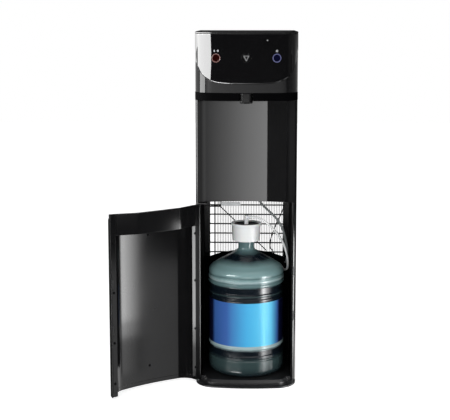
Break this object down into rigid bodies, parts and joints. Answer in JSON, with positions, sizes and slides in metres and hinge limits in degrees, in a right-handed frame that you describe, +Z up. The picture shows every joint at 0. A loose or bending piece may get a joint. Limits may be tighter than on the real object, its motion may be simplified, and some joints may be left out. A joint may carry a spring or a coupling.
{
  "type": "water dispenser",
  "caption": "Bottom-loading water dispenser with a bowed head, a niche under the spout, push-button controls and a swinging lower door in front of the bottle bay.",
  "frame": {"origin": "on the floor under the middle of the cabinet, on the base pan's flat underside", "axes": "+Z up, -Y towards the front with the spout and the door, +X to the viewer's right"},
  "size_m": [0.6138, 0.5114, 1.195],
  "materials": {
    "black_gloss": "gloss",
    "black_satin": "satin",
    "black_paint": "satin",
    "red_lens": "gloss",
    "blue_lens": "gloss",
    "white_lens": "gloss",
    "board_green": "satin",
    "foam": "matte",
    "bare_steel": "satin",
    "copper": "satin",
    "bottle_tint": "gloss",
    "water": "gloss",
    "label_blue": "satin",
    "white_plastic": "satin",
    "white_hose": "satin",
    "grey_hose": "satin",
    "dark_rubber": "matte",
    "pump_body": "satin"
  },
  "bodies": {
    "cabinet": {"control_fascia": "black_gloss", "niche_panel": "black_gloss", "head_band": "black_gloss", "spout": "black_gloss", "head_shell": "black_satin", "top_cover": "black_satin", "base_pan": "black_satin", "left_bay_liner": "black_satin", "right_bay_liner": "black_satin", "bay_rear_wall": "black_satin", "left_side_panel": "black_paint", "right_side_panel": "black_paint", "rear_upper_cover": "black_paint", "mid_deck": "black_paint", "pipe_bracket": "black_paint", "condenser_tube": "black_paint", "condenser_wires": "black_paint", "condenser_clips": "black_paint", "discharge_line": "black_paint", "compressor": "black_paint", "upper_hinge_bracket": "black_paint", "strike_plates": "black_paint", "hot_ring_lens": "red_lens", "cold_ring_lens": "blue_lens", "status_lens": "white_lens", "control_board": "board_green", "cold_tank_jacket": "foam", "cold_tank": "bare_steel", "hot_tank": "bare_steel", "cross_rail": "bare_steel", "lower_hinge_pin": "bare_steel", "filter_dryer": "copper", "capillary_line": "copper", "bottle": "bottle_tint", "bottle_water": "water", "bottle_label": "label_blue", "probe_cap": "white_plastic", "probe_tube": "white_plastic", "hose_elbow": "white_plastic", "spout_valves": "white_plastic", "outlet_tubes": "white_plastic", "suction_hose": "white_hose", "riser_hose": "grey_hose", "pump_cable": "dark_rubber", "drain_plug": "dark_rubber", "cord_gland": "dark_rubber", "water_pump": "pump_body"},
    "door": {"door_skin": "black_satin", "door_liner": "black_satin", "door_magnets": "bare_steel", "door_bottom_rail": "black_satin", "door_ledge": "black_satin", "liner_screws": "bare_steel"},
    "drip_tray": {"drip_tray": "black_satin"},
    "drip_grille": {"drip_grille": "black_satin"},
    "hot_button": {"hot_button": "black_gloss"},
    "cold_button": {"cold_button": "black_gloss"},
    "dispense_button": {"dispense_button": "black_gloss"},
    "heater_switch": {"heater_switch": "black_satin"},
    "cooler_switch": {"cooler_switch": "black_satin"}
  },
  "joints": [
    {"name": "door_swing", "type": "hinge", "parent": "cabinet", "child": "door", "pos_m": [-0.163, -0.12612, 0.3], "axis": [0, 0, 1], "range_deg": [-5, 145]},
    {"name": "tray_lift", "type": "slide", "parent": "door", "child": "drip_tray", "axis": [0, 0, 1], "range_m": [0, 0.03]},
    {"name": "grille_lift", "type": "slide", "parent": "drip_tray", "child": "drip_grille", "axis": [0, 0, 1], "range_m": [0, 0.02]},
    {"name": "hot_button_press", "type": "slide", "parent": "cabinet", "child": "hot_button", "axis": [0.1235, 0.9923, 0], "range_m": [0, 0.0012], "stiffness_N_per_m": 700, "springref_m": -0.0008},
    {"name": "cold_button_press", "type": "slide", "parent": "cabinet", "child": "cold_button", "axis": [-0.1235, 0.9923, 0], "range_m": [0, 0.0012], "stiffness_N_per_m": 700, "springref_m": -0.0008},
    {"name": "dispense_button_press", "type": "slide", "parent": "cabinet", "child": "dispense_button", "axis": [0, 1, 0], "range_m": [0, 0.0012], "stiffness_N_per_m": 700, "springref_m": -0.0008},
    {"name": "heater_switch_rock", "type": "hinge", "parent": "cabinet", "child": "heater_switch", "pos_m": [-0.1, 0.176, 1.12], "axis": [1, 0, 0], "range_deg": [-6, 6]},
    {"name": "cooler_switch_rock", "type": "hinge", "parent": "cabinet", "child": "cooler_switch", "pos_m": [-0.06, 0.176, 1.12], "axis": [1, 0, 0], "range_deg": [-6, 6]}
  ]
}
